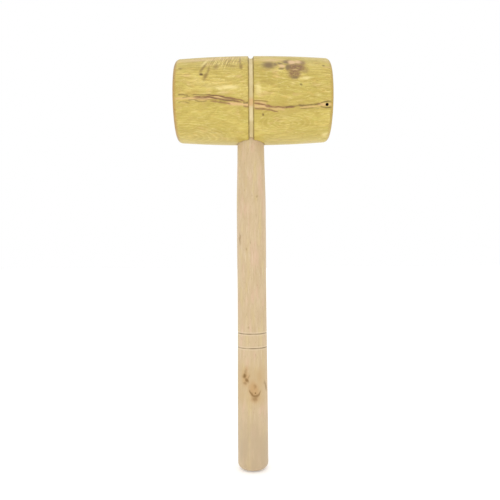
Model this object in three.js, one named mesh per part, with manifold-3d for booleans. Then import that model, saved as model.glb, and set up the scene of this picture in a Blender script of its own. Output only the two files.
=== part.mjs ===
// Meat mallet, in millimetres, standing on its butt: +Z runs up the handle, +X along the head.
// A turned barrel head takes the end of a turned handle in a blind hole, and a wedge inside the
// hole spreads the slotted end of the handle so that it can't pull out.

import * as THREE from "three";
import { mergeVertices } from "three/addons/utils/BufferGeometryUtils.js";
import Module from "manifold-3d";

const FIT_GAP = 0.3; // left between pieces that touch on the real mallet

// Whole mallet
const OVERALL_HEIGHT = 399;
const HANDLE_OFFSET = 2.3; // the handle's axis lies this far left of the head's middle

// Head, turned about X
const HEAD_LENGTH = 147.3;
const HEAD_DIAMETER = 84;
const BARREL_RISE = 2.7; // how far the barrel swells over its radius at the end faces
const HEAD_RIM_RADIUS = 5.3;
const HEAD_SIDES = 64;
const HEAD_AXIS_HEIGHT = OVERALL_HEIGHT - HEAD_DIAMETER / 2;
const HEAD_UNDERSIDE = OVERALL_HEIGHT - HEAD_DIAMETER;

// Half-round groove turned round the head, over the handle
const GROOVE_RADIUS = 2.4;
const GROOVE_LIP_RADIUS = 0.6;
const GROOVE_OFFSET = 0.5; // the groove lies this far right of the handle's axis
const GROOVE_CENTRE = GROOVE_OFFSET - HANDLE_OFFSET;

// Handle, turned about Z
const NECK_DIAMETER = 26; // where it enters the head
const SHOULDER_DIAMETER = 28.25;
const WAIST_DIAMETER = 28.05;
const BUTT_DIAMETER = 29.5;
const NECK_LENGTH = 66; // from the head down to the shoulder
const SHOULDER_LENGTH = 32;
const WAIST_HEIGHT = 180; // the thinnest place below the shoulder
const BUTT_LENGTH = 19; // the butt's full thickness reaches this high
const BUTT_EDGE_RADIUS = 6;
const BUTT_DOME_HEIGHT = 0.8;
const HANDLE_SIDES = 40;

// Two ring lines cut round the handle below its waist
const LOWER_RING_HEIGHT = 118.7;
const RING_SPACING = 13.7;
const RING_WIDTH = 1.2;
const RING_DEPTH = 0.4;
const RING_HEIGHTS = [LOWER_RING_HEIGHT, LOWER_RING_HEIGHT + RING_SPACING];

// Joint between them: the blind hole, the handle's end and the wedge in its slot
const HOLE_ROOF = 22; // wood left in the head over the hole
const HOLE_TOP = OVERALL_HEIGHT - HOLE_ROOF;
const END_CLEARANCE = 1; // from the handle's end to the bottom of the hole
const END_CHAMFER = 1;
const SLOT_DEPTH = 30;
const SLOT_ROOT_WIDTH = 1.4;
const SPREAD = 1; // how far each half of the handle's end moves out as the wedge goes in
const WEDGE_TIP_CLEARANCE = 5;
const WEDGE_SETBACK = 2.35; // each edge of the wedge stays this far inside the handle's side
const SPIGOT_TOP = HOLE_TOP - END_CLEARANCE;
const SLOT_ROOT = SPIGOT_TOP - SLOT_DEPTH;

const wasm = await Module();
wasm.setup();

function toSolid(geometry) {
  const bare = geometry.clone();
  bare.deleteAttribute("normal");
  bare.deleteAttribute("uv");
  const merged = mergeVertices(bare, 1e-4);
  return new wasm.Manifold(
    new wasm.Mesh({
      numProp: 3,
      vertProperties: merged.attributes.position.array,
      triVerts: new Uint32Array(merged.index.array),
    }),
  );
}

function toGeometry(solid) {
  const { vertProperties, triVerts } = solid.getMesh();
  const faceted = new THREE.BufferGeometry()
    .setAttribute("position", new THREE.BufferAttribute(vertProperties, 3))
    .setIndex(new THREE.BufferAttribute(triVerts, 1))
    .toNonIndexed();
  faceted.computeVertexNormals();
  return faceted;
}

function addPiece(group, name, geometry, colour, roughness) {
  const material = new THREE.MeshStandardMaterial({ color: colour, roughness, metalness: 0 });
  const mesh = new THREE.Mesh(geometry, material);
  mesh.name = name;
  group.add(mesh);
}

// A smooth step between neighbouring [height, radius] stations.
function radiusAt(stations, height) {
  const next = stations.findIndex(([top]) => height <= top);
  const [z0, r0] = stations[next - 1];
  const [z1, r1] = stations[next];
  return r0 + (r1 - r0) * THREE.MathUtils.smoothstep(height, z0, z1);
}

// Points of an arc in the profile plane, both ends included; angles in radians from +X.
function arc(cx, cy, radius, from, to, steps) {
  return Array.from({ length: steps + 1 }, (_, i) => {
    const angle = from + ((to - from) * i) / steps;
    return new THREE.Vector2(cx + radius * Math.cos(angle), cy + radius * Math.sin(angle));
  });
}

// Half of the head's outline, from the middle of one end face to the middle of the groove's floor.
// The profile's x is the radius and its y runs along the head, from 0 at the head's middle outwards.
function headHalfProfile(grooveCentre) {
  const half = HEAD_LENGTH / 2;
  const barrelRadius = (half ** 2 + BARREL_RISE ** 2) / (2 * BARREL_RISE);
  const barrelX = HEAD_DIAMETER / 2 - barrelRadius;
  const rimY = half - HEAD_RIM_RADIUS;
  const rimX = barrelX + Math.sqrt((barrelRadius - HEAD_RIM_RADIUS) ** 2 - rimY ** 2);
  const rimAngle = Math.atan2(rimY, rimX - barrelX);
  const reach = GROOVE_RADIUS + GROOVE_LIP_RADIUS;
  const lipY = grooveCentre + Math.sqrt(reach ** 2 - GROOVE_LIP_RADIUS ** 2);
  const lipAngle = Math.asin(lipY / barrelRadius);
  const lipX = barrelX + barrelRadius * Math.cos(lipAngle) - GROOVE_LIP_RADIUS;
  const wallAngle = Math.acos(GROOVE_LIP_RADIUS / reach);
  const grooveX = lipX + GROOVE_LIP_RADIUS;
  return [
    new THREE.Vector2(0, half),
    ...arc(rimX, rimY, HEAD_RIM_RADIUS, Math.PI / 2, rimAngle, 6),
    ...arc(barrelX, 0, barrelRadius, rimAngle, lipAngle, 7).slice(1, -1),
    ...arc(lipX, lipY, GROOVE_LIP_RADIUS, 0, -wallAngle, 2),
    ...arc(grooveX, grooveCentre, GROOVE_RADIUS, Math.PI - wallAngle, Math.PI, 4).slice(1),
  ];
}

// The barrel with its groove, less the blind hole for the handle.
function headGeometry() {
  const right = headHalfProfile(GROOVE_CENTRE).slice(0, -1);
  const left = headHalfProfile(-GROOVE_CENTRE).map((p) => new THREE.Vector2(p.x, -p.y));
  const barrel = new THREE.LatheGeometry([...left, ...right.reverse()], HEAD_SIDES)
    .rotateZ(-Math.PI / 2)
    .translate(0, 0, HEAD_AXIS_HEIGHT);
  return toGeometry(toSolid(barrel).subtract(toSolid(holeGeometry())));
}

// The blind hole, as the solid to cut from the head: the handle's end with the gap round it. It
// flares where the wedge has spread the handle.
function holeGeometry() {
  const mouth = HEAD_UNDERSIDE - FIT_GAP;
  const straight = NECK_DIAMETER / 2 + FIT_GAP;
  const flared = straight + SPREAD;
  return turned([
    new THREE.Vector2(0, mouth),
    new THREE.Vector2(straight, mouth),
    new THREE.Vector2(straight, SLOT_ROOT),
    new THREE.Vector2(flared, SPIGOT_TOP),
    new THREE.Vector2(flared, HOLE_TOP),
    new THREE.Vector2(0, HOLE_TOP),
  ]);
}

// A lathe profile of (radius, height) turned about the handle's axis.
function turned(profile) {
  return new THREE.LatheGeometry(profile, HANDLE_SIDES)
    .rotateX(Math.PI / 2)
    .translate(-HANDLE_OFFSET, 0, 0);
}

// A ring line's small groove in the handle's side.
function ringProfile(radius, height) {
  return [
    new THREE.Vector2(radius, height - RING_WIDTH / 2),
    new THREE.Vector2(radius - RING_DEPTH, height - RING_WIDTH / 6),
    new THREE.Vector2(radius - RING_DEPTH, height + RING_WIDTH / 6),
    new THREE.Vector2(radius, height + RING_WIDTH / 2),
  ];
}

// The handle's side between the butt's rounded edge and the head, with the ring lines let in.
function handleSideProfile() {
  const butt = BUTT_DIAMETER / 2;
  const shoulderTop = HEAD_UNDERSIDE - NECK_LENGTH;
  const shoulderFoot = shoulderTop - SHOULDER_LENGTH;
  const stations = [
    [0, butt],
    [BUTT_LENGTH, butt],
    [WAIST_HEIGHT, WAIST_DIAMETER / 2],
    [shoulderFoot, SHOULDER_DIAMETER / 2],
    [shoulderTop, SHOULDER_DIAMETER / 2],
    [HEAD_UNDERSIDE, NECK_DIAMETER / 2],
  ];
  const steps = 30;
  const bottom = BUTT_DOME_HEIGHT + BUTT_EDGE_RADIUS;
  const clear = (height) => RING_HEIGHTS.every((ring) => Math.abs(ring - height) > RING_WIDTH);
  const plain = Array.from(
    { length: steps },
    (_, i) => bottom + ((HEAD_UNDERSIDE - bottom) * (i + 1)) / steps,
  )
    .filter(clear)
    .map((height) => new THREE.Vector2(radiusAt(stations, height), height));
  const rings = RING_HEIGHTS.flatMap((height) => ringProfile(radiusAt(stations, height), height));
  return [...plain, ...rings].sort((a, b) => a.y - b.y);
}

// The butt's slight dome and its rounded edge, from the handle's axis outwards.
function buttProfile() {
  const flat = BUTT_DIAMETER / 2 - BUTT_EDGE_RADIUS;
  const domeRadius = (flat ** 2 + BUTT_DOME_HEIGHT ** 2) / (2 * BUTT_DOME_HEIGHT);
  const domeAngle = Math.asin(flat / domeRadius);
  const dome = arc(0, domeRadius, domeRadius, -Math.PI / 2, domeAngle - Math.PI / 2, 3);
  const edgeY = BUTT_DOME_HEIGHT + BUTT_EDGE_RADIUS;
  return [...dome, ...arc(flat, edgeY, BUTT_EDGE_RADIUS, -Math.PI / 2, 0, 6).slice(1)];
}

// The handle, whose end inside the head is a round spigot with a saw slot across it.
function handleGeometry() {
  const end = NECK_DIAMETER / 2 + SPREAD;
  const spigot = [
    new THREE.Vector2(NECK_DIAMETER / 2, SLOT_ROOT),
    new THREE.Vector2(end, SPIGOT_TOP - END_CHAMFER),
    new THREE.Vector2(end - END_CHAMFER, SPIGOT_TOP),
    new THREE.Vector2(0, SPIGOT_TOP),
  ];
  const blank = turned([...buttProfile(), ...handleSideProfile(), ...spigot]);
  return toGeometry(toSolid(blank).subtract(toSolid(slotGeometry())));
}

const slotWidthAt = (height) => SLOT_ROOT_WIDTH + (2 * SPREAD * (height - SLOT_ROOT)) / SLOT_DEPTH;

// A bar along Y that fills the slot's V between two heights, less a gap at each face.
function slotBar(bottom, top, length, gap) {
  const half = (height) => slotWidthAt(height) / 2 - gap;
  const outline = new THREE.Shape();
  outline.moveTo(-half(bottom), bottom);
  outline.lineTo(half(bottom), bottom);
  outline.lineTo(half(top), top);
  outline.lineTo(-half(top), top);
  outline.closePath();
  return new THREE.ExtrudeGeometry(outline, { depth: length, bevelEnabled: false })
    .rotateX(Math.PI / 2)
    .translate(-HANDLE_OFFSET, length / 2, 0);
}

// The saw slot across the handle's end, opened to a V by the wedge.
function slotGeometry() {
  const overrun = 2;
  return slotBar(SLOT_ROOT, SPIGOT_TOP + overrun, NECK_DIAMETER * 2, 0);
}

function wedgeGeometry() {
  const tip = SLOT_ROOT + WEDGE_TIP_CLEARANCE;
  const back = HOLE_TOP - FIT_GAP;
  return slotBar(tip, back, NECK_DIAMETER - 2 * WEDGE_SETBACK, FIT_GAP);
}

const mallet = new THREE.Group();
mallet.name = "meat_mallet";
addPiece(mallet, "head", headGeometry(), "#d6c077", 0.42);
addPiece(mallet, "handle", handleGeometry(), "#dcc49b", 0.6);
addPiece(mallet, "wedge", wedgeGeometry(), "#c79f63", 0.7);

export default mallet;
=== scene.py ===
"""A wooden meat mallet: a turned barrel head, a turned handle and the wedge that locks them."""

import math

import bmesh
import bpy
from mathutils import Matrix, Vector


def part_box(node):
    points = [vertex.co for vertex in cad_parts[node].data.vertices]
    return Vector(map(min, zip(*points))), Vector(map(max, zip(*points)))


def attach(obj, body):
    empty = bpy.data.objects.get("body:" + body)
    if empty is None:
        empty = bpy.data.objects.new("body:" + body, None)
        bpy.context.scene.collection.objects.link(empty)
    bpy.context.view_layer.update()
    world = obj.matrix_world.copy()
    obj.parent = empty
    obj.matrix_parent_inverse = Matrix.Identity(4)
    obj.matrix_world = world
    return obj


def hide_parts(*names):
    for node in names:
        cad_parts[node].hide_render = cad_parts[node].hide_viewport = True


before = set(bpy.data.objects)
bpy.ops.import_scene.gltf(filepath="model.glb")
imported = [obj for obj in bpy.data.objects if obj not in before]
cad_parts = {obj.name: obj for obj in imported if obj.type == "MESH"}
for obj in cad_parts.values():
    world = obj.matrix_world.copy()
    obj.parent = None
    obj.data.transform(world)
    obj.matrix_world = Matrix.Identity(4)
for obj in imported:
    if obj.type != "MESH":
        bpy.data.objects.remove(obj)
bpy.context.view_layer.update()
MM = 0.001

# --- Head -------------------------------------------------------------------------------------
# One block of olive-yellow hardwood, turned between centres to a barrel with flat striking faces
# and rounded rims, varnished, and then grooved half-round over the handle down to bare wood. A
# blind hole is bored up from below. A brown vein with an open pith hole runs along its front.

head_low, head_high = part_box("head")
handle_low, handle_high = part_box("handle")
HANDLE_X = (handle_low.x + handle_high.x) / 2
HEAD_HALF = (head_high.x - head_low.x) / 2
HEAD_RADIUS = (head_high.y - head_low.y) / 2
HEAD_AXIS_Z = head_high.z - HEAD_RADIUS
BARREL_RISE = 2.7 * MM
RIM_RADIUS = 5.3 * MM
GROOVE_RADIUS = 2.4 * MM
GROOVE_LIP = 0.6 * MM
GROOVE_X = HANDLE_X + 0.5 * MM
HEAD_SIDES = 160
SHARP = math.radians(32)

# The hole, which flares where the wedge has spread the handle's end.
NECK_RADIUS = 13.0 * MM
FIT_GAP = 0.3 * MM
HOLE_TOP = head_high.z - 22 * MM
SPIGOT_TOP = handle_high.z
SLOT_ROOT = SPIGOT_TOP - 30 * MM
SPREAD = 1.0 * MM

# The open pith hole at the vein's right-hand end, from the point where the axes cross. Its
# cutter narrows from the mouth to the bottom.
PITH_HOLE = Vector((69.5, -37.6, -13.0)) * MM
PITH_HOLE_MOUTH = 1.3125 * MM
PITH_HOLE_BOTTOM = 0.75 * MM
PITH_HOLE_DEPTH = 5.8 * MM

# How far a cutter stands out past the wood that it cuts, and the number of sides of each hole.
CUT_PAST = 2 * MM
PITH_CUT_PAST = 1.2 * MM
HOLE_SIDES = 96
PITH_HOLE_SIDES = 24

# How near the two halves of the head's outline come to each other on the groove's floor.
FLOOR_JOIN = 0.04 * MM


def straight(bm, start, along, reach):
    """Carry an outline on from a point, straight to an (along, reach) pair."""
    end = bm.verts.new((along, 0, reach))
    bm.edges.new((start, end))
    return end


def swing(bm, start, centre, angle, steps):
    """Carry an outline on from a point, round an (along, reach) centre by an angle."""
    arc = bmesh.ops.spin(
        bm,
        geom=[start],
        axis=(0, 1, 0),
        cent=(centre[0], 0, centre[1]),
        angle=angle,
        steps=steps,
    )
    return next(part for part in arc["geom_last"] if isinstance(part, bmesh.types.BMVert))


def head_outline(bm, side):
    """Half the head's outline: over the rim and the barrel, and down to the groove's floor."""
    groove = side * GROOVE_X
    barrel = (HEAD_HALF**2 + BARREL_RISE**2) / (2 * BARREL_RISE)
    barrel_z = HEAD_RADIUS - barrel
    rim_x = HEAD_HALF - RIM_RADIUS
    rim_slope = math.asin(rim_x / (barrel - RIM_RADIUS))
    rim_z = barrel_z + (barrel - RIM_RADIUS) * math.cos(rim_slope)
    lip_angle = math.acos(GROOVE_LIP / (GROOVE_RADIUS + GROOVE_LIP))
    lip_x = groove + (GROOVE_RADIUS + GROOVE_LIP) * math.sin(lip_angle)
    lip_slope = math.asin(lip_x / (barrel - GROOVE_LIP))
    lip_z = barrel_z + (barrel - GROOVE_LIP) * math.cos(lip_slope)
    point = bm.verts.new((side * HEAD_HALF, 0, 0))
    point = straight(bm, point, side * HEAD_HALF, rim_z)
    point = swing(bm, point, (side * rim_x, rim_z), side * (rim_slope - math.pi / 2), steps=12)
    point = swing(bm, point, (0, barrel_z), side * (lip_slope - rim_slope), steps=32)
    point = swing(bm, point, (side * lip_x, lip_z), -side * (lip_slope + lip_angle), steps=5)
    swing(bm, point, (GROOVE_X, lip_z + GROOVE_LIP), side * lip_angle, steps=10)


def turn(bm, sides):
    """Spin an outline about X into a closed solid with its faces outwards."""
    bmesh.ops.spin(
        bm,
        geom=bm.verts[:] + bm.edges[:],
        axis=(1, 0, 0),
        cent=(0, 0, 0),
        angle=2 * math.pi,
        steps=sides,
        use_merge=True,
    )
    bmesh.ops.remove_doubles(bm, verts=bm.verts[:], dist=1e-6)
    bmesh.ops.recalc_face_normals(bm, faces=bm.faces[:])


def add_object(bm, name):
    """Make the finished bmesh an object whose faces are smooth up to its sharp edges."""
    for face in bm.faces:
        face.smooth = True
    for edge in bm.edges:
        edge.smooth = edge.calc_face_angle(0) < SHARP
    mesh = bpy.data.meshes.new(name)
    bm.to_mesh(mesh)
    bm.free()
    piece = bpy.data.objects.new(name, mesh)
    bpy.context.scene.collection.objects.link(piece)
    return piece


def cut(piece, cutter):
    """Cut a closed solid out of a piece for good, and remove the cutter."""
    boolean = piece.modifiers.new("cut", "BOOLEAN")
    boolean.object = cutter
    boolean.operation = "DIFFERENCE"
    boolean.solver = "EXACT"
    bpy.context.view_layer.update()
    shown = piece.evaluated_get(bpy.context.evaluated_depsgraph_get())
    result = bpy.data.meshes.new_from_object(shown)
    piece.modifiers.clear()
    piece.data = result
    bpy.data.objects.remove(cutter)


bm = bmesh.new()
head_outline(bm, -1)
head_outline(bm, 1)
bmesh.ops.remove_doubles(bm, verts=bm.verts[:], dist=FLOOR_JOIN)
turn(bm, HEAD_SIDES)
bmesh.ops.translate(bm, verts=bm.verts[:], vec=(0, 0, HEAD_AXIS_Z))
head = add_object(bm, "barrel_head")

bm = bmesh.new()
hole_radius = NECK_RADIUS + FIT_GAP
mouth = head_low.z - CUT_PAST
point = bm.verts.new((mouth, 0, 0))
point = straight(bm, point, mouth, hole_radius)
point = straight(bm, point, SLOT_ROOT, hole_radius)
point = straight(bm, point, SPIGOT_TOP, hole_radius + SPREAD)
point = straight(bm, point, HOLE_TOP, hole_radius + SPREAD)
straight(bm, point, HOLE_TOP, 0)
turn(bm, HOLE_SIDES)
upright = Matrix.Translation((HANDLE_X, 0, 0)) @ Matrix.Rotation(math.radians(-90), 4, "Y")
bmesh.ops.transform(bm, matrix=upright, verts=bm.verts[:])
cut(head, add_object(bm, "hole_cutter"))

bm = bmesh.new()
bmesh.ops.create_cone(
    bm,
    cap_ends=True,
    segments=PITH_HOLE_SIDES,
    radius1=PITH_HOLE_BOTTOM,
    radius2=PITH_HOLE_MOUTH,
    depth=PITH_HOLE_DEPTH + PITH_CUT_PAST,
)
outwards = Vector((0, PITH_HOLE.y, PITH_HOLE.z)).normalized()
turned_out = outwards.to_track_quat("Z", "Y").to_matrix().to_4x4()
pith_middle = PITH_HOLE + Vector((HANDLE_X, 0, HEAD_AXIS_Z))
pith_middle -= outwards * (PITH_HOLE_DEPTH - PITH_CUT_PAST) / 2
bmesh.ops.transform(bm, matrix=Matrix.Translation(pith_middle) @ turned_out, verts=bm.verts[:])
cut(head, add_object(bm, "pith_cutter"))


def node(tree, kind, inputs=(), **settings):
    """Add a shader node, set its settings, and set or link its inputs by name or number."""
    made = tree.nodes.new("ShaderNode" + kind)
    for name, value in settings.items():
        setattr(made, name, value)
    for name, value in dict(inputs).items():
        if isinstance(value, bpy.types.NodeSocket):
            tree.links.new(value, made.inputs[name])
        else:
            made.inputs[name].default_value = value
    return made


def calc(tree, operation, a, b=0.0):
    """One step of arithmetic on two values or masks."""
    return node(tree, "Math", {0: a, 1: b}, operation=operation).outputs[0]


def most(tree, values):
    """The greatest of several masks, each compared as soon as it is made."""
    greatest = 0.0
    for value in values:
        greatest = calc(tree, "MAXIMUM", greatest, value)
    return greatest


def fade(tree, value, start, end, low=0.0, high=1.0):
    """Go smoothly from low, where value is start, to high, where it is end."""
    inputs = {"Value": value, "From Min": start, "From Max": end, "To Min": low, "To Max": high}
    return node(tree, "MapRange", inputs, interpolation_type="SMOOTHSTEP").outputs["Result"]


def blend(tree, amount, under, over):
    """Lay one colour over another by an amount from 0 to 1."""
    made = node(tree, "Mix", {0: amount}, data_type="RGBA")
    for socket, colour in ((6, under), (7, over)):
        if isinstance(colour, bpy.types.NodeSocket):
            tree.links.new(colour, made.inputs[socket])
        else:
            made.inputs[socket].default_value = (*colour, 1.0)
    return made.outputs[2]


def noise(tree, place, size, stretch=(1, 1, 1), detail=3.0, roughness=0.5, shift=0.0, colour=False):
    """Noise whose lumps are about size mm across, drawn out by stretch along each axis."""
    scale = [1.0 / (size * s) for s in stretch]
    moved = node(tree, "Mapping", {"Vector": place, "Location": (shift,) * 3, "Scale": scale})
    inputs = {"Vector": moved.outputs[0], "Scale": 1.0, "Detail": detail, "Roughness": roughness}
    return node(tree, "TexNoise", inputs).outputs["Color" if colour else "Fac"]


def ragged(tree, place, size, reach, stretch, shift=0.0):
    """Push coordinates about by soft noise, so that what reads them has an uneven edge."""
    lumps = noise(tree, place, size, stretch, 2.0, shift=shift, colour=True)
    centred = node(tree, "VectorMath", {0: lumps, 1: (0.5,) * 3}, operation="SUBTRACT").outputs[0]
    pushed = node(tree, "VectorMath", {0: centred, "Scale": reach}, operation="SCALE").outputs[0]
    return node(tree, "VectorMath", {0: place, 1: pushed}, operation="ADD").outputs[0]


def spot(tree, place, centre, size, lean, soft, strength=1.0):
    """A soft-edged oval mark in the wood: its centre, half sizes in mm and lean about Y in degrees."""
    rotation = (0, math.radians(lean), 0)
    inputs = {"Vector": place, "Location": centre, "Scale": size, "Rotation": rotation}
    local = node(tree, "Mapping", inputs, vector_type="TEXTURE").outputs[0]
    reach = node(tree, "VectorMath", {0: local}, operation="LENGTH").outputs["Value"]
    return fade(tree, reach, 1.0 + soft, 1.0 - soft, 0.0, strength)


def stroke(tree, place, path, width, strength):
    """A soft line on the wood's front through (along, up) points, fading out at its ends."""
    parts = node(tree, "SeparateXYZ", {0: place}).outputs
    start, end = path[0][0], path[-1][0]
    low = min(up for _, up in path) - 1
    high = max(up for _, up in path) + 1
    inputs = {"Value": parts["X"], "From Min": start, "From Max": end}
    share = node(tree, "MapRange", inputs).outputs[0]
    curve = node(tree, "FloatCurve", {"Value": share})
    line = curve.mapping.curves[0].points
    shares = [((along - start) / (end - start), (up - low) / (high - low)) for along, up in path]
    line[0].location = shares[0]
    line[1].location = shares[-1]
    for along, up in shares[1:-1]:
        line.new(along, up)
    curve.mapping.update()
    inputs = {0: curve.outputs[0], 1: high - low, 2: low}
    height = node(tree, "Math", inputs, operation="MULTIPLY_ADD").outputs[0]
    off = calc(tree, "ABSOLUTE", calc(tree, "SUBTRACT", parts["Z"], height))
    ends = fade(tree, calc(tree, "PINGPONG", share, 0.5), 0.0, 0.12)
    return calc(tree, "MULTIPLY", fade(tree, off, width, 0.0, 0.0, strength), ends)


def growth_rings(tree, place, heart, spacing, taper):
    """Growth rings about a heart, each 0 in early wood and 1 in late wood. X is multiplied by
    taper before they are laid out, so that they are drawn out along it."""
    inputs = {"Vector": place, "Location": [-c for c in heart], "Scale": (taper, 1, 1)}
    about = node(tree, "Mapping", inputs).outputs[0]
    reach = node(tree, "VectorMath", {0: about}, operation="LENGTH").outputs["Value"]
    share = calc(tree, "FRACT", calc(tree, "DIVIDE", reach, spacing))
    return calc(tree, "MULTIPLY", fade(tree, share, 0.15, 0.85), fade(tree, share, 1.0, 0.9))


def new_material(name):
    """A material with an empty tree apart from its Principled shader and its output."""
    material = bpy.data.materials.new(name)
    material.use_nodes = True
    return material, material.node_tree, material.node_tree.nodes["Principled BSDF"]


def millimetres(tree, centre):
    """Object coordinates in millimetres about a point of the row frame."""
    coordinates = node(tree, "TexCoord").outputs["Object"]
    shift = [-c / MM for c in centre]
    inputs = {"Vector": coordinates, "Scale": (1 / MM,) * 3, "Location": shift}
    return node(tree, "Mapping", inputs).outputs[0]


def emboss(tree, shader, relief):
    """Raise and sink the shaded surface by a relief in mm."""
    inputs = {"Height": calc(tree, "MULTIPLY", relief, MM), "Strength": 1.0, "Distance": 1.0}
    bump = node(tree, "Bump", inputs)
    tree.links.new(bump.outputs[0], shader.inputs["Normal"])


def on_front(along, up):
    """The point of the barrel's front at a place along it and up it from the head's axis, in mm."""
    return (along, -math.sqrt(BARREL_FRONT**2 - up**2), up)


# The barrel's radius where its marks lie, and the tree's heart and growth rings, in mm.
BARREL_FRONT = 41
HEART = (0, 54, 45)
TAPER = 0.05
RING_GROWTH = 2.1

STRAW = (0.69, 0.545, 0.135)
OLIVE = (0.50, 0.395, 0.070)
PALE = (0.86, 0.71, 0.30)
GREENISH = (0.57, 0.505, 0.105)
OCHRE = (0.72, 0.475, 0.120)
PEACH = (0.71, 0.45, 0.20)
LATE_WOOD = (0.42, 0.29, 0.050)
RED_BROWN = (0.25, 0.115, 0.040)
DARK_BROWN = (0.13, 0.07, 0.015)
PATCH_BROWN = (0.240, 0.125, 0.050)
BLUR_BROWN = (0.225, 0.145, 0.052)
PINK_WOOD = (0.730, 0.490, 0.250)
STREAK_BROWN = (0.30, 0.195, 0.045)
END_GRAIN = (0.36, 0.200, 0.038)
END_PALE = (0.56, 0.35, 0.08)
END_YELLOW = (0.54, 0.385, 0.060)
END_DARK = (0.26, 0.14, 0.022)
END_RAY = (0.66, 0.46, 0.15)
BARE_FLOOR = (0.68, 0.555, 0.280)
BARE_LIGHT = (0.79, 0.665, 0.385)
LIP_SHADE_BROWN = (0.24, 0.16, 0.03)
PITH_HOLE_SHADE = (0.012, 0.006, 0.002)

head_wood, tree, shader = new_material("varnished_yellow_wood")
place = millimetres(tree, (HANDLE_X, 0, HEAD_AXIS_Z))
wavy = ragged(tree, place, 26, 13.0, (1.6, 1, 1))
uneven = ragged(tree, place, 3.2, 2.2, (2.2, 1, 1))

# Growth rings, broad clouds of colour, fibres and short pores, all drawn out along the head.
rings = growth_rings(tree, wavy, HEART, RING_GROWTH, TAPER)
clouds = noise(tree, wavy, 15, (1.8, 1, 1), 2.0)
streaks = noise(tree, wavy, 1.6, (7, 1, 1), 4.0, 0.62)
fibres = noise(tree, wavy, 0.7, (18, 1, 1), 3.0, 0.65)
flecks = noise(tree, uneven, 1.2, (2.6, 1, 1), 2.0, shift=41.0)
pores = fade(tree, noise(tree, wavy, 0.36, (11, 1, 1), 1.0, shift=7.0), 0.66, 0.74)
pale_clouds = noise(tree, wavy, 9, (2, 1, 1), 3.0, shift=31.0)
peach_clouds = noise(tree, wavy, 8, (2, 1, 1), 2.0, shift=63.0)
tints = noise(tree, uneven, 4.2, (2, 1, 1), 3.0, shift=85.0)
colour = blend(tree, fade(tree, clouds, 0.36, 0.68, 0, 0.75), STRAW, OLIVE)
colour = blend(tree, fade(tree, pale_clouds, 0.58, 0.74, 0, 0.5), colour, PALE)
colour = blend(tree, fade(tree, peach_clouds, 0.56, 0.76, 0, 0.6), colour, PEACH)
colour = blend(tree, fade(tree, tints, 0.54, 0.72, 0, 0.55), colour, GREENISH)
colour = blend(tree, fade(tree, tints, 0.46, 0.28, 0, 0.55), colour, OCHRE)
colour = blend(tree, calc(tree, "MULTIPLY", rings, 0.40), colour, LATE_WOOD)
colour = blend(tree, fade(tree, streaks, 0.52, 0.26, 0, 0.80), colour, LATE_WOOD)
colour = blend(tree, fade(tree, streaks, 0.52, 0.76, 0, 0.70), colour, PALE)
colour = blend(tree, fade(tree, fibres, 0.54, 0.28, 0, 0.60), colour, LATE_WOOD)
colour = blend(tree, fade(tree, flecks, 0.60, 0.76, 0, 0.50), colour, LATE_WOOD)
colour = blend(tree, fade(tree, flecks, 0.40, 0.26, 0, 0.25), colour, PALE)
colour = blend(tree, calc(tree, "MULTIPLY", pores, 0.5), colour, DARK_BROWN)

# The lower half is a little darker, with two swirls where the lathe cut along the rings: each
# swirl's middle, its half sizes, its taper and the spacing of its lines.
lower = fade(tree, node(tree, "SeparateXYZ", {0: place}).outputs["Z"], 6, -16, 0.0, 0.28)
colour = blend(tree, lower, colour, OLIVE)
eddied = ragged(tree, uneven, 10, 7.0, (1.5, 1, 1), 51.0)
SWIRLS = [((33, -28), (25, 13), 0.38, 2.0), ((-62, -38), (46, 22), 0.42, 2.4)]
for (along, up), (wide, high), taper, spacing in SWIRLS:
    middle = on_front(along, up)
    lines = growth_rings(tree, eddied, (along * taper, *middle[1:]), spacing, taper)
    between = fade(tree, lines, 0.25, 0.0)
    within = spot(tree, place, middle, (wide, 24, high), 0, 0.5, 0.24)
    colour = blend(tree, calc(tree, "MULTIPLY", lines, within), colour, LATE_WOOD)
    within = calc(tree, "MULTIPLY", within, 0.5)
    colour = blend(tree, calc(tree, "MULTIPLY", between, within), colour, PALE)

# The vein: light flesh-coloured wood between thin brown lines that braid along the front. Each
# line has its points, along and up from where the axes cross, its half width and its strength.
front = fade(tree, node(tree, "SeparateXYZ", {0: place}).outputs["Y"], -16, -27)
FLESH_STROKES = [
    ([(-72, -7.2), (-62, -6.8), (-52, -7.4), (-44, -7.8), (-36, -7.7)], 2.0, 0.55),
    ([(-60, -7.0), (-50, -7.2), (-39, -7.0), (-30, -6.6), (-22, -7.4), (-14, -8.4)], 1.7, 0.8),
    ([(-24, -11.4), (-14, -12.2), (-2, -13.4), (4, -14.4), (14, -14.8), (20, -15.8)], 2.4, 0.9),
    ([(3, -11.2), (9, -11.6), (15, -12.6)], 1.5, 0.8),
    ([(17, -16.4), (24, -16.6), (32, -16.8)], 1.6, 0.6),
    ([(44, -15.2), (53, -14.9), (63, -14.4)], 1.3, 0.6),
    ([(60, -13.2), (66, -12.9), (71, -12.9), (77, -12.8)], 1.7, 0.95),
]
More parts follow.
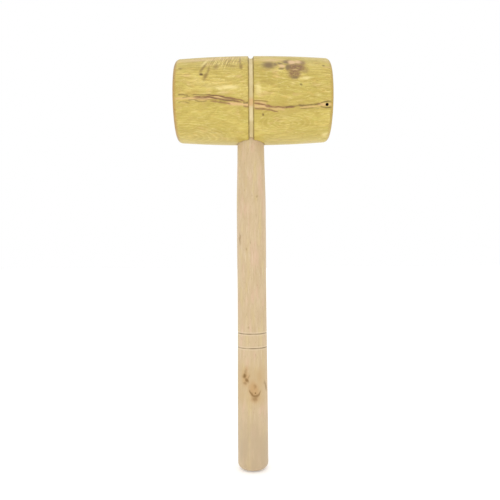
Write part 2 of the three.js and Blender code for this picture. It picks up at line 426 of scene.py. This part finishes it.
RED_STROKES = [
    ([(-54, -6.1), (-45, -5.9), (-37, -6.1), (-31, -7.6), (-23, -8.8), (-15, -9.6), (-6, -11.4)], 1.35, 1.0),
    ([(-41, -4.1), (-33, -4.8), (-25, -6.0), (-17, -7.2), (-9, -9.0), (-3, -10.8)], 1.15, 1.0),
    ([(-27, -6.4), (-21, -7.8), (-13, -8.4), (-7, -9.8)], 0.8, 0.6),
    ([(-38, -9.6), (-31, -10.4), (-22, -11.6), (-17, -12.6)], 1.1, 0.8),
    ([(-52, -8.0), (-44, -7.2), (-36, -8.6), (-29, -9.6)], 0.9, 0.6),
    ([(2.2, -10.0), (8, -9.9), (16, -10.8)], 1.0, 0.8),
    ([(2.2, -12.2), (7, -12.5), (12, -13.2), (19, -14.6)], 1.4, 1.0),
    ([(11, -13.4), (18, -15.2), (26, -15.2), (34, -15.6), (42, -14.2)], 1.4, 0.95),
    ([(2.5, -16.0), (12, -16.9), (18, -17.7), (26, -19.4)], 1.2, 0.9),
    ([(-7, -14.6), (-1.5, -15.0)], 1.2, 0.7),
]
DARK_STROKES = [
    ([(-66, -3.6), (-61, -3.9), (-56, -4.8)], 1.1, 0.70),
    ([(-62, -6.2), (-54, -5.2)], 0.8, 0.5),
    ([(-66, -10.4), (-60, -9.8), (-54, -11.4)], 0.9, 0.55),
    ([(-57, -8.6), (-52, -8.4), (-47, -9.0)], 0.7, 0.55),
    ([(-55, -4.1), (-47, -4.0), (-38, -4.4), (-30, -5.3), (-20, -7.4), (-11, -9.4)], 0.8, 0.75),
    ([(-50, -6.6), (-41, -6.2), (-33, -6.9), (-26, -8.2), (-18, -9.3)], 0.7, 0.60),
    ([(-51, -9.3), (-45, -9.7), (-39, -9.4)], 0.9, 0.6),
    ([(-29, -10.0), (-21, -9.7), (-13, -9.8)], 1.0, 0.6),
    ([(-7, -11.6), (-2, -11.5)], 1.3, 1.0),
    ([(31, -15.7), (38, -14.6), (45, -13.9)], 1.0, 0.65),
    ([(42, -13.6), (49, -13.7), (55, -13.2), (65, -12.2)], 1.2, 0.8),
    ([(44, -16.6), (53, -16.0), (63, -16.4)], 0.9, 0.5),
    ([(63, -11.8), (69, -10.6), (76, -11.0)], 1.1, 0.8),
    ([(63, -14.4), (68, -15.4), (76, -14.4)], 1.1, 0.8),
]
grain_broken = noise(tree, place, 1.6, (3.5, 1, 1), 2.0, shift=17.0)
grain_broken = fade(tree, grain_broken, 0.30, 0.50, 0.6, 1.0)
VEIN = [(-74, -6.5), (-50, -7), (-28, -8), (-8, -11), (10, -13.5), (30, -15.6), (52, -13.8), (77, -12.8)]
VEIN_INKS = [
    ([(VEIN, 9, 0.4)], LATE_WOOD),
    (FLESH_STROKES, PEACH),
    (RED_STROKES, RED_BROWN),
    (DARK_STROKES, DARK_BROWN),
]
for strokes, ink in VEIN_INKS:
    drawn = most(tree, (stroke(tree, uneven, *line) for line in strokes))
    drawn = calc(tree, "MULTIPLY", calc(tree, "MULTIPLY", drawn, front), grain_broken)
    colour = blend(tree, drawn, colour, ink)

# Patches, specks and leaning streaks in the wood's front: each has its place along and up from
# where the axes cross and its half sizes, in mm, then its lean in degrees, its softness and its
# strength.
BROWN_PATCHES = [
    ((42.0, 21.8), (8.4, 5.6), 0, 0.40, 1.0),
    ((39.8, 15.5), (5.6, 5.4), 0, 0.55, 1.0),
    ((47.2, 27.0), (3.6, 3.4), 0, 0.50, 0.80),
    ((49.5, 18.5), (3.6, 3.0), 0, 0.60, 0.60),
    ((36.2, 28.6), (2.4, 3.0), 0, 0.60, 0.75),
]
BLURRED_PATCHES = [
    ((16.8, 24.2), (5.4, 4.4), 0, 0.75, 1.0),
    ((22.6, 25.2), (2.4, 2.2), 0, 0.70, 0.85),
    ((27.4, 26.2), (2.6, 1.1), 10, 0.60, 0.90),
    ((32.8, 28.2), (3.2, 2.4), 0, 0.70, 0.95),
    ((34.0, 21.8), (2.2, 3.4), 0, 0.60, 0.95),
    ((28.4, 20.4), (2.8, 1.1), -12, 0.60, 0.80),
    ((40.5, 11.2), (3.0, 1.2), 0, 0.60, 0.90),
]
PINK_PATCHES = [
    ((38.2, 28.0), (3.4, 2.6), 0, 0.45, 0.95),
    ((43.5, 28.5), (3.2, 2.2), 0, 0.60, 0.80),
    ((29.0, 23.2), (2.6, 1.7), 0, 0.60, 0.85),
    ((20.0, 30.5), (9.0, 2.4), 0, 0.80, 0.55),
    ((41.0, 19.0), (3.0, 0.7), 0, 0.70, 0.40),
    ((-40, 33.0), (26.0, 2.2), -3, 0.80, 0.50),
]
PALE_PATCHES = [
    ((-19, 2.4), (7.5, 1.7), 0, 0.7, 0.75),
    ((7, 1), (2.2, 5.0), 0, 0.8, 0.50),
    ((50, 10.6), (4.6, 1.4), -8, 0.7, 0.65),
    ((-42.0, 28.0), (1.3, 5.0), 34, 0.8, 0.60),
    ((70, -36), (3.0, 1.4), -12, 0.7, 0.55),
]
SPECKS = [
    ((-44.4, 15.4), (1.7, 1.3), 0, 0.5, 1.00),
    ((-64, 22), (1.6, 0.7), 0, 0.8, 0.60),
    ((67.3, 24.3), (1.1, 0.9), 0, 0.8, 0.70),
    ((45.7, 4.2), (1.3, 0.8), 15, 0.8, 0.75),
    ((11.2, -21.3), (0.8, 0.8), 0, 0.8, 0.85),
]
LEANING_STREAKS = [
    ((-43.2, 22.0), (1.2, 5.6), 28, 0.8, 0.95),
    ((-40.6, 13.4), (1.7, 4.2), 24, 0.8, 0.95),
    ((-38.4, 19.0), (1.0, 4.4), 12, 0.8, 0.70),
    ((-31.5, 23.0), (2.2, 3.2), 30, 0.8, 0.70),
    ((-16.2, 23.6), (3.2, 1.6), 0, 0.8, 0.60),
    ((-9.4, 29.0), (0.9, 8.0), 2, 0.8, 0.85),
    ((-8.4, 22.6), (1.4, 2.6), 0, 0.8, 0.95),
]


def marks(tree, place, listed, depth):
    """One mask of all the marks in a list for the head's front, each reaching depth mm in."""
    made = 0.0
    for (along, up), (wide, high), lean, soft, strength in listed:
        mask = spot(tree, place, on_front(along, up), (wide, depth, high), lean, soft, strength)
        made = calc(tree, "MAXIMUM", mask, made)
    return made


# Fine streaks fan out over the front's upper left, and curls of noise mottle the brown patch.
FAN_LEAN = math.radians(-17)
curls = noise(tree, ragged(tree, place, 3.0, 4.0, (1, 1, 1), 5.0), 1.7, (1.8, 1, 1), 3.0)
fan = node(tree, "Mapping", {"Vector": place, "Rotation": (0, FAN_LEAN, 0)}).outputs[0]
fan = noise(tree, fan, 1.0, (1, 14, 14), 1.0, shift=29.0)
fanned = spot(tree, uneven, on_front(-25, 30), (16, 12, 9), 0, 0.75, 0.80)
colour = blend(tree, calc(tree, "MULTIPLY", fade(tree, fan, 0.50, 0.36), fanned), colour, STREAK_BROWN)
colour = blend(tree, calc(tree, "MULTIPLY", fade(tree, fan, 0.54, 0.68, 0, 0.8), fanned), colour, PALE)
colour = blend(tree, marks(tree, uneven, LEANING_STREAKS, 12), colour, STREAK_BROWN)
patches = marks(tree, uneven, BROWN_PATCHES, 10)
patches = calc(tree, "MULTIPLY", patches, fade(tree, curls, 0.66, 0.42, 0.62, 1.0))
blurred = marks(tree, uneven, BLURRED_PATCHES, 10)
colour = blend(tree, patches, colour, PATCH_BROWN)
colour = blend(tree, blurred, colour, BLUR_BROWN)
colour = blend(tree, marks(tree, uneven, PINK_PATCHES, 8), colour, PINK_WOOD)
colour = blend(tree, marks(tree, uneven, PALE_PATCHES, 8), colour, PALE)
colour = blend(tree, marks(tree, uneven, SPECKS, 4), colour, DARK_BROWN)

# End grain shows on the striking faces and on the outer part of the rims, with rays and rings.
# It is more yellow at the right-hand end.
END_FACE = HEAD_HALF / MM
parts = node(tree, "SeparateXYZ", {0: place}).outputs
off_middle = calc(tree, "ABSOLUTE", calc(tree, "ADD", parts["X"], HANDLE_X / MM))
end_mask = fade(tree, off_middle, END_FACE - 4.4, END_FACE - 1.0)
inputs = {"Vector": wavy, "Location": [-c for c in HEART], "Scale": (0, 1, 1)}
from_heart = node(tree, "Mapping", inputs).outputs[0]
from_heart = node(tree, "SeparateXYZ", {0: from_heart}).outputs
bearing = calc(tree, "ARCTAN2", from_heart["Y"], from_heart["Z"])
inputs = {
    "X": calc(tree, "MULTIPLY", bearing, 140),
    "Y": calc(tree, "MULTIPLY", from_heart["Y"], 0.04),
}
rays = noise(tree, node(tree, "CombineXYZ", inputs).outputs[0], 1.0, (1, 1, 1), 2.0)
end_pores = fade(tree, noise(tree, place, 0.7, (8, 1, 1), 1.0, shift=3.0), 0.62, 0.72)
end_wavy = ragged(tree, place, 30, 5.0, (1, 1, 1))
end_rings = growth_rings(tree, end_wavy, HEART, RING_GROWTH, TAPER)
end_colour = blend(tree, fade(tree, clouds, 0.35, 0.65, 0, 0.6), END_GRAIN, END_PALE)
end_colour = blend(tree, fade(tree, parts["X"], -40, 40, 0, 0.7), end_colour, END_YELLOW)
end_colour = blend(tree, calc(tree, "MULTIPLY", end_rings, 0.28), end_colour, END_DARK)
end_colour = blend(tree, fade(tree, rays, 0.55, 0.75, 0, 0.35), end_colour, END_RAY)
end_colour = blend(tree, calc(tree, "MULTIPLY", end_pores, 0.45), end_colour, DARK_BROWN)
colour = blend(tree, end_mask, colour, end_colour)

# The groove's floor is bare and pale but for the vein, which crosses it. A dark brown line is
# painted along each of its lips as painted shade. Distances are in mm from the groove's middle.
GROOVE_MIDDLE = (GROOVE_X - HANDLE_X) / MM
off_groove = calc(tree, "ABSOLUTE", calc(tree, "SUBTRACT", parts["X"], GROOVE_MIDDLE))
in_groove = fade(tree, off_groove, 2.3, 1.5)
floor_colour = blend(tree, fade(tree, clouds, 0.35, 0.65), BARE_FLOOR, BARE_LIGHT)
crossing = spot(tree, place, on_front(GROOVE_MIDDLE, -10.5), (4, 9, 3.4), 0, 0.5, 0.75)
floor_colour = blend(tree, crossing, floor_colour, PEACH)
colour = blend(tree, in_groove, colour, floor_colour)
# Painted shade: a dark line along each lip of the groove, broken up by noise.
lip_shade = calc(tree, "MULTIPLY", fade(tree, off_groove, 1.2, 2.1), fade(tree, off_groove, 3.3, 2.5))
lip_shade_strength = fade(tree, noise(tree, place, 6, (1, 1, 1), 2.0, shift=11.0), 0.35, 0.6, 0.45, 0.8)
colour = blend(tree, calc(tree, "MULTIPLY", lip_shade, lip_shade_strength), colour, LIP_SHADE_BROWN)

# The pith hole is painted nearly black inside, as painted shade in the hole.
from_pith = node(tree, "VectorMath", {0: place, 1: PITH_HOLE / MM}, operation="SUBTRACT").outputs[0]
off_pith = node(tree, "VectorMath", {0: from_pith, 1: outwards}, operation="CROSS_PRODUCT").outputs[0]
off_pith = node(tree, "VectorMath", {0: off_pith}, operation="LENGTH").outputs["Value"]
pith = calc(tree, "MULTIPLY", fade(tree, off_pith, 1.65, 1.30), front)
colour = blend(tree, pith, colour, PITH_HOLE_SHADE)
tree.links.new(colour, shader.inputs["Base Color"])

# The varnish is satin, and missing from the groove and the pith hole.
sheen = noise(tree, wavy, 9, (3, 1, 1), 2.0, shift=77.0)
roughness = fade(tree, sheen, 0.3, 0.7, 0.42, 0.54)
roughness = calc(tree, "ADD", roughness, calc(tree, "MULTIPLY", pores, 0.15))
bare = most(tree, [in_groove, pith])
roughness = calc(tree, "ADD", roughness, calc(tree, "MULTIPLY", bare, 0.3))
tree.links.new(roughness, shader.inputs["Roughness"])
tree.links.new(fade(tree, bare, 0.2, 0.8, 0.22, 0.0), shader.inputs["Coat Weight"])
shader.inputs["Coat Roughness"].default_value = 0.32
shader.inputs["Specular IOR Level"].default_value = 0.4

# Relief in mm: raised fibres, and sunk pores and late wood.
relief = calc(tree, "MULTIPLY", fibres, 0.030)
relief = calc(tree, "SUBTRACT", relief, calc(tree, "MULTIPLY", pores, 0.045))
relief = calc(tree, "SUBTRACT", relief, calc(tree, "MULTIPLY", rings, 0.020))
emboss(tree, shader, relief)
head.data.materials.clear()
head.data.materials.append(head_wood)
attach(head, "root")
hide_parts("head")

# --- Handle -----------------------------------------------------------------------------------
# A stick of pale, close-grained hardwood, turned to a gentle swell with a rounded butt and two
# ring lines, then sanded and left bare. Its top end is a round spigot with a saw slot across it,
# glued into the head's blind hole.

HANDLE_SIDES = 112
BUTT_RADIUS = 14.75 * MM
WAIST_RADIUS = 14.03 * MM
SHOULDER_RADIUS = 14.13 * MM
HEAD_UNDERSIDE = HEAD_AXIS_Z - HEAD_RADIUS
NECK_LENGTH = 66 * MM
SHOULDER_LENGTH = 32 * MM
WAIST_HEIGHT = 180 * MM
BUTT_LENGTH = 19 * MM
BUTT_EDGE = 6.0 * MM
BUTT_DOME = 0.8 * MM
LOWER_RING = 118.7 * MM
RING_SPACING = 13.7 * MM
RING_WIDTH = 1.2 * MM
RING_DEPTH = 0.4 * MM
RING_EASE = 0.2
SIDE_STEP = 2.5 * MM
END_CHAMFER = 1.0 * MM
SLOT_ROOT_WIDTH = 1.4 * MM
SLOT_CUT_LENGTH = 4 * NECK_RADIUS


def handle_radius(z):
    """Radius of the handle's side: smooth steps between the butt, waist, shoulder and neck."""
    shoulder_top = HEAD_UNDERSIDE - NECK_LENGTH
    stations = [
        (0, BUTT_RADIUS),
        (BUTT_LENGTH, BUTT_RADIUS),
        (WAIST_HEIGHT, WAIST_RADIUS),
        (shoulder_top - SHOULDER_LENGTH, SHOULDER_RADIUS),
        (shoulder_top, SHOULDER_RADIUS),
        (HEAD_UNDERSIDE, NECK_RADIUS),
        (SLOT_ROOT, NECK_RADIUS),
    ]
    for (z0, r0), (z1, r1) in zip(stations, stations[1:]):
        if z <= z1:
            t = (z - z0) / (z1 - z0)
            return r0 + (r1 - r0) * t * t * (3 - 2 * t)
    return NECK_RADIUS


def side_line(bm, start, top, step):
    """Carry the outline on up the handle's side to a height, in even steps."""
    bottom = start.co.x
    count = math.ceil((top - bottom) / step)
    for i in range(count):
        height = bottom + (top - bottom) * (i + 1) / count
        start = straight(bm, start, height, handle_radius(height))
    return start


bm = bmesh.new()
flat = BUTT_RADIUS - BUTT_EDGE
dome = (flat**2 + BUTT_DOME**2) / (2 * BUTT_DOME)
point = bm.verts.new((0, 0, 0))
slope = math.asin(flat / dome)
point = swing(bm, point, (dome, 0), slope, steps=10)
point = swing(bm, point, (BUTT_DOME + BUTT_EDGE, flat), math.pi / 2 - slope, steps=12)

# Each ring line is a shallow groove, whose sides first rise gently, by RING_EASE of its depth.
for ring in (LOWER_RING, LOWER_RING + RING_SPACING):
    point = side_line(bm, point, ring - RING_WIDTH / 2, SIDE_STEP)
    bottom = handle_radius(ring) - RING_DEPTH
    for share, rise in ((-0.25, RING_EASE), (0, 0), (0.25, RING_EASE), (0.5, 1)):
        point = straight(bm, point, ring + RING_WIDTH * share, bottom + RING_DEPTH * rise)
point = side_line(bm, point, SLOT_ROOT, SIDE_STEP)
point = straight(bm, point, SPIGOT_TOP - END_CHAMFER, NECK_RADIUS + SPREAD)
point = straight(bm, point, SPIGOT_TOP, NECK_RADIUS + SPREAD - END_CHAMFER)
straight(bm, point, SPIGOT_TOP, 0)
turn(bm, HANDLE_SIDES)
bmesh.ops.transform(bm, matrix=upright, verts=bm.verts[:])
handle = add_object(bm, "turned_handle")


def v_bar(bm, bottom, top, length, gap):
    """A bar along Y that fills the slot's V between two heights, less a gap at each face."""
    bmesh.ops.create_cube(bm, size=1)
    for vert in bm.verts:
        height = top if vert.co.z > 0 else bottom
        rise = (height - SLOT_ROOT) / (SPIGOT_TOP - SLOT_ROOT)
        half = SLOT_ROOT_WIDTH / 2 + SPREAD * rise - gap
        vert.co = (HANDLE_X + math.copysign(half, vert.co.x), vert.co.y * length, height)


bm = bmesh.new()
v_bar(bm, SLOT_ROOT, SPIGOT_TOP + CUT_PAST, SLOT_CUT_LENGTH, 0)
cut(handle, add_object(bm, "slot_cutter"))

# The handle's radius where its marks lie, and its own tree's heart and growth rings, in mm.
HANDLE_FRONT = 14.3
HANDLE_HEART = (0, 46, 22)
HANDLE_TAPER = 0.03
HANDLE_GROWTH = 1.9

BARE_WOOD = (0.632, 0.482, 0.292)
BARE_DARK = (0.520, 0.375, 0.205)
BARE_PALE = (0.740, 0.600, 0.405)
BARE_PINK = (0.675, 0.465, 0.315)
BARE_YELLOW = (0.640, 0.500, 0.250)
BUTT_SHADE_TAN = (0.500, 0.378, 0.235)
GRIP_OCHRE = (0.560, 0.400, 0.205)
KNOT_BROWN = (0.250, 0.140, 0.040)
KNOT_HALO = (0.520, 0.310, 0.125)
RING_SHADE_BROWN = (0.20, 0.125, 0.055)
BUTT_GRAIN = (0.40, 0.275, 0.14)
BUTT_RINGS = (0.25, 0.155, 0.065)

handle_wood, tree, shader = new_material("bare_pale_wood")
place = millimetres(tree, (HANDLE_X, 0, 0))

# The grain bends round two knots, each given by its middle and its half sizes.
KNOTS = [((-7.0, -11.8, 91), (4.5, 6, 9)), ((2.6, -14.0, 77), (6.5, 6, 10))]
bent = ragged(tree, place, 20, 3.0, (1, 1, 3))
for centre, size in KNOTS:
    bulge = spot(tree, place, centre, size, 0, 0.9)
    aside = node(tree, "VectorMath", {0: bent, 1: centre}, operation="SUBTRACT").outputs[0]
    amount = calc(tree, "MULTIPLY", bulge, -0.55)
    aside = node(tree, "VectorMath", {0: aside, "Scale": amount}, operation="SCALE").outputs[0]
    bent = node(tree, "VectorMath", {0: bent, 1: aside}, operation="ADD").outputs[0]
parts = node(tree, "SeparateXYZ", {0: place}).outputs
height = parts["Z"]

# Rings of growth drawn out along the handle, fibres, short pores and soft clouds of colour.
upended = node(tree, "Mapping", {"Vector": bent, "Rotation": (0, math.radians(90), 0)}).outputs[0]
rings = growth_rings(tree, upended, HANDLE_HEART, HANDLE_GROWTH, HANDLE_TAPER)
clouds = noise(tree, bent, 9, (1, 1, 3), 3.0)
tints = noise(tree, bent, 6, (1, 1, 4), 2.0, shift=23.0)
streaks = noise(tree, bent, 1.3, (1, 1, 12), 3.0, 0.6)
fibres = noise(tree, bent, 0.4, (1, 1, 30), 2.0, 0.6)
pores = fade(tree, noise(tree, bent, 0.34, (1, 1, 10), 1.0, shift=9.0), 0.64, 0.73)
colour = blend(tree, fade(tree, clouds, 0.35, 0.68, 0, 0.45), BARE_WOOD, BARE_DARK)
colour = blend(tree, fade(tree, tints, 0.52, 0.72, 0, 0.8), colour, BARE_PINK)
colour = blend(tree, fade(tree, tints, 0.48, 0.30, 0, 0.7), colour, BARE_YELLOW)
colour = blend(tree, calc(tree, "MULTIPLY", rings, 0.16), colour, BARE_DARK)
colour = blend(tree, fade(tree, streaks, 0.50, 0.28, 0, 0.40), colour, BARE_DARK)
colour = blend(tree, fade(tree, streaks, 0.52, 0.74, 0, 0.45), colour, BARE_PALE)
colour = blend(tree, fade(tree, fibres, 0.52, 0.30, 0, 0.30), colour, BARE_DARK)
colour = blend(tree, calc(tree, "MULTIPLY", pores, 0.35), colour, KNOT_BROWN)

# Handling has browned the grip, most of all round the two knots. The handle is painted darker towards the
# butt, as painted shade.
grip = calc(tree, "MULTIPLY", fade(tree, height, 58, 72), fade(tree, height, 112, 94))
grip = calc(tree, "MULTIPLY", grip, fade(tree, clouds, 0.3, 0.6, 0.35, 0.8))
colour = blend(tree, grip, colour, GRIP_OCHRE)
# Painted shade: darker towards the butt, unevenly.
butt_shade = fade(tree, clouds, 0.3, 0.6, 0.45, 0.85)
butt_shade = calc(tree, "MULTIPLY", fade(tree, height, 74, 24), butt_shade)
colour = blend(tree, butt_shade, colour, BUTT_SHADE_TAN)

# Two knots in the grip, and small brown marks: each has its place across and up the handle and
# its half sizes, in mm, then its lean in degrees, its softness and its strength.
torn = ragged(tree, place, 2.6, 2.4, (1, 1, 1.6))
KNOT_MARKS = [
    ((-7.9, 92.5), (1.5, 2.3), 25, 0.7, 1.0),
    ((-5.6, 88.6), (1.5, 2.2), -35, 0.7, 0.9),
    ((-3.8, 91.5), (0.8, 2.0), 25, 0.8, 0.45),
    ((-7.2, 85.6), (1.6, 1.3), 0, 0.8, 0.55),
    ((-6.6, 96.5), (1.1, 2.4), 20, 0.8, 0.40),
    ((2.2, 82.5), (1.3, 1.9), 0, 0.8, 0.45),
    ((2.7, 76.8), (0.9, 0.8), 0, 0.5, 1.0),
    ((2.0, 71.0), (2.2, 2.6), 0, 0.8, 0.60),
    ((12.2, 82.0), (0.8, 4.6), -12, 0.8, 0.70),
    ((-11.2, 223), (0.7, 5.0), 0, 0.8, 0.60),
    ((-4.8, 213), (0.5, 1.2), 0, 0.8, 0.40),
    ((5.1, 263.5), (0.5, 1.0), 0, 0.8, 0.40),
    ((-6.7, 269.5), (0.5, 1.0), 0, 0.8, 0.40),
    ((-3.4, 138.6), (0.5, 1.3), 0, 0.8, 0.40),
    ((3.0, 112), (0.4, 1.5), 0, 0.8, 0.35),
]
HALO_MARKS = [
    ((-5.6, 99.0), (2.0, 2.6), 0, 0.8, 0.55),
    ((-7.0, 90.5), (3.6, 7.0), 0, 0.7, 0.75),
    ((1.2, 79.0), (4.8, 8.0), -10, 0.6, 0.80),
    ((2.2, 71.5), (4.2, 4.0), 0, 0.8, 0.70),
    ((6.5, 91.0), (2.2, 7.0), 0, 0.9, 0.30),
]


def on_side(across, up):
    """The point of the handle's front at a place across it and up it, in mm."""
    return (across, -math.sqrt(HANDLE_FRONT**2 - across**2), up)


def side_marks(tree, place, listed):
    """One mask of all the marks in a list for the handle's front."""
    made = 0.0
    for (across, up), (wide, high), lean, soft, strength in listed:
        mask = spot(tree, place, on_side(across, up), (wide, 5, high), lean, soft, strength)
        made = calc(tree, "MAXIMUM", mask, made)
    return made


colour = blend(tree, side_marks(tree, torn, HALO_MARKS), colour, KNOT_HALO)
knots = side_marks(tree, torn, KNOT_MARKS)
HOOK = [(-4, 80.5), (-2, 77), (0, 74.8), (2.6, 73.4), (5.4, 74.6), (8.2, 79)]
hook = stroke(tree, torn, HOOK, 2.6, 0.85)
hook = calc(tree, "MULTIPLY", hook, fade(tree, parts["Y"], -8, -11))
knots = most(tree, [knots, hook])
colour = blend(tree, knots, colour, KNOT_BROWN)

# The two ring lines are painted dark inside, as painted shade, and their lips are painted paler, as painted
# highlight.
ring_shade_masks = []
lip_highlight_masks = []
for ring in (LOWER_RING / MM, (LOWER_RING + RING_SPACING) / MM):
    off = calc(tree, "ABSOLUTE", calc(tree, "SUBTRACT", height, ring))
    ring_shade_masks.append(fade(tree, off, 0.75, 0.15))
    lip_highlight_masks.append(fade(tree, off, 2.2, 1.1))
ring_shade_strength = fade(tree, noise(tree, place, 9, (1, 1, 1), 1.0, shift=4.0), 0.35, 0.62, 0.35, 0.85)
colour = blend(tree, calc(tree, "MULTIPLY", most(tree, lip_highlight_masks), 0.45), colour, BARE_PALE)
ring_shade = calc(tree, "MULTIPLY", most(tree, ring_shade_masks), ring_shade_strength)
colour = blend(tree, ring_shade, colour, RING_SHADE_BROWN)

# End grain on the butt: the same rings cut across, with fine dark pores.
reach = node(tree, "CombineXYZ", {"X": parts["X"], "Y": parts["Y"]}).outputs[0]
reach = node(tree, "VectorMath", {0: reach}, operation="LENGTH").outputs["Value"]
butt_end = calc(tree, "MULTIPLY", fade(tree, height, 3.4, 0.9), fade(tree, reach, 12.6, 10.2))
butt_pores = fade(tree, noise(tree, place, 0.6, (1, 1, 12), 1.0, shift=3.0), 0.60, 0.72, 0, 0.6)
butt_colour = blend(tree, calc(tree, "MULTIPLY", rings, 0.7), BUTT_GRAIN, BUTT_RINGS)
butt_colour = blend(tree, butt_pores, butt_colour, KNOT_BROWN)
colour = blend(tree, butt_end, colour, butt_colour)
tree.links.new(colour, shader.inputs["Base Color"])

# The bare wood is dull, and a little rougher in its pores.
sheen = noise(tree, bent, 12, (1, 1, 3), 2.0, shift=15.0)
roughness = fade(tree, sheen, 0.3, 0.7, 0.52, 0.66)
roughness = calc(tree, "ADD", roughness, calc(tree, "MULTIPLY", pores, 0.12))
tree.links.new(roughness, shader.inputs["Roughness"])
shader.inputs["Specular IOR Level"].default_value = 0.35
shader.inputs["Sheen Weight"].default_value = 0.15
shader.inputs["Sheen Roughness"].default_value = 0.5

# Relief in mm: raised fibres, and sunk pores, late wood and knots.
relief = calc(tree, "MULTIPLY", fibres, 0.035)
relief = calc(tree, "SUBTRACT", relief, calc(tree, "MULTIPLY", pores, 0.050))
relief = calc(tree, "SUBTRACT", relief, calc(tree, "MULTIPLY", rings, 0.012))
relief = calc(tree, "SUBTRACT", relief, calc(tree, "MULTIPLY", knots, 0.10))
emboss(tree, shader, relief)
handle.data.materials.clear()
handle.data.materials.append(handle_wood)
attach(handle, "root")
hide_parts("handle")

# --- Wedge ------------------------------------------------------------------------------------
# A small hardwood wedge, sawn and left rough. It stands in the handle's slot with its thick end
# on the bottom of the blind hole, so that it spread the slot as the handle was driven home.

WEDGE_TIP = SLOT_ROOT + 5 * MM
WEDGE_SETBACK = 2.35 * MM
WEDGE_EDGE = 0.25 * MM
WEDGE_BROWN = (0.36, 0.24, 0.11)
WEDGE_PALE = (0.56, 0.40, 0.20)
SAW_MARKS = (0.30, 0.19, 0.08)

bm = bmesh.new()
v_bar(bm, WEDGE_TIP, HOLE_TOP - FIT_GAP, 2 * (NECK_RADIUS - WEDGE_SETBACK), FIT_GAP)
bmesh.ops.bevel(
    bm,
    geom=bm.edges[:],
    offset=WEDGE_EDGE,
    segments=2,
    profile=0.5,
    affect="EDGES",
    material=-1,
)
bmesh.ops.recalc_face_normals(bm, faces=bm.faces[:])
wedge = add_object(bm, "spreading_wedge")

wedge_wood, tree, shader = new_material("sawn_wedge_wood")
place = millimetres(tree, (HANDLE_X, 0, 0))
grain = noise(tree, ragged(tree, place, 8, 1.5, (1, 1, 3)), 0.8, (1, 1, 16), 3.0, 0.6)
saw_lines = fade(tree, noise(tree, place, 0.9, (8, 1, 1), 2.0, shift=6.0), 0.40, 0.62)
colour = blend(tree, fade(tree, grain, 0.35, 0.62), WEDGE_BROWN, WEDGE_PALE)
colour = blend(tree, calc(tree, "MULTIPLY", saw_lines, 0.25), colour, SAW_MARKS)
tree.links.new(colour, shader.inputs["Base Color"])
tree.links.new(fade(tree, grain, 0.3, 0.7, 0.62, 0.78), shader.inputs["Roughness"])
relief = calc(tree, "ADD", calc(tree, "MULTIPLY", saw_lines, 0.08), grain)
emboss(tree, shader, calc(tree, "MULTIPLY", relief, 0.05))
wedge.data.materials.append(wedge_wood)
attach(wedge, "root")
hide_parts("wedge")

# --- Camera, light and floor ------------------------------------------------------------------
# A plain white floor in an even white studio, with one broad soft light in front.

CAMERA_LENS = 40.75
CAMERA_SENSOR = 36
CAMERA_DISTANCE = 551.5 * MM
CAMERA_LEFT = 1.56 * MM
CAMERA_DROP = 144.6 * MM
CAMERA_ROLL = math.radians(0.45)
SOFTBOX_SIZE = 0.9
SOFTBOX_POWER = 1.5
SOFTBOX_PLACE = Vector((-0.25, -1.1, 0.75))
SOFTBOX_AIM = Vector((0, 0, 0.25))
FLOOR_HALF = 6
FLOOR_WHITE = 0.9
FLOOR_GLOW = 0.25

camera_data = bpy.data.cameras.new("camera")
camera_data.lens = CAMERA_LENS
camera_data.sensor_width = CAMERA_SENSOR
camera = bpy.data.objects.new("camera", camera_data)
camera.location = (HANDLE_X - CAMERA_LEFT, -CAMERA_DISTANCE, HEAD_AXIS_Z - CAMERA_DROP)
camera.rotation_euler = (math.radians(90), CAMERA_ROLL, 0)
bpy.context.scene.collection.objects.link(camera)
bpy.context.scene.camera = camera

world = bpy.data.worlds.new("studio")
world.use_nodes = True
world.node_tree.nodes["Background"].inputs["Color"].default_value = (1, 1, 1, 1)
world.node_tree.nodes["Background"].inputs["Strength"].default_value = 1.0
bpy.context.scene.world = world
bpy.context.scene.view_settings.view_transform = "Standard"

softbox_data = bpy.data.lights.new("softbox", "AREA")
softbox_data.shape = "RECTANGLE"
softbox_data.size = SOFTBOX_SIZE
softbox_data.size_y = SOFTBOX_SIZE
softbox_data.energy = SOFTBOX_POWER
softbox = bpy.data.objects.new("softbox", softbox_data)
softbox.location = SOFTBOX_PLACE
softbox.rotation_euler = (SOFTBOX_AIM - SOFTBOX_PLACE).to_track_quat("-Z", "Y").to_euler()
bpy.context.scene.collection.objects.link(softbox)

bm = bmesh.new()
bmesh.ops.create_grid(bm, x_segments=1, y_segments=1, size=FLOOR_HALF)
floor = add_object(bm, "floor")
floor_paint, tree, shader = new_material("white_floor")
shader.inputs["Base Color"].default_value = (FLOOR_WHITE, FLOOR_WHITE, FLOOR_WHITE, 1)
shader.inputs["Roughness"].default_value = 0.9
shader.inputs["Emission Color"].default_value = (1, 1, 1, 1)
shader.inputs["Emission Strength"].default_value = FLOOR_GLOW
floor.data.materials.append(floor_paint)
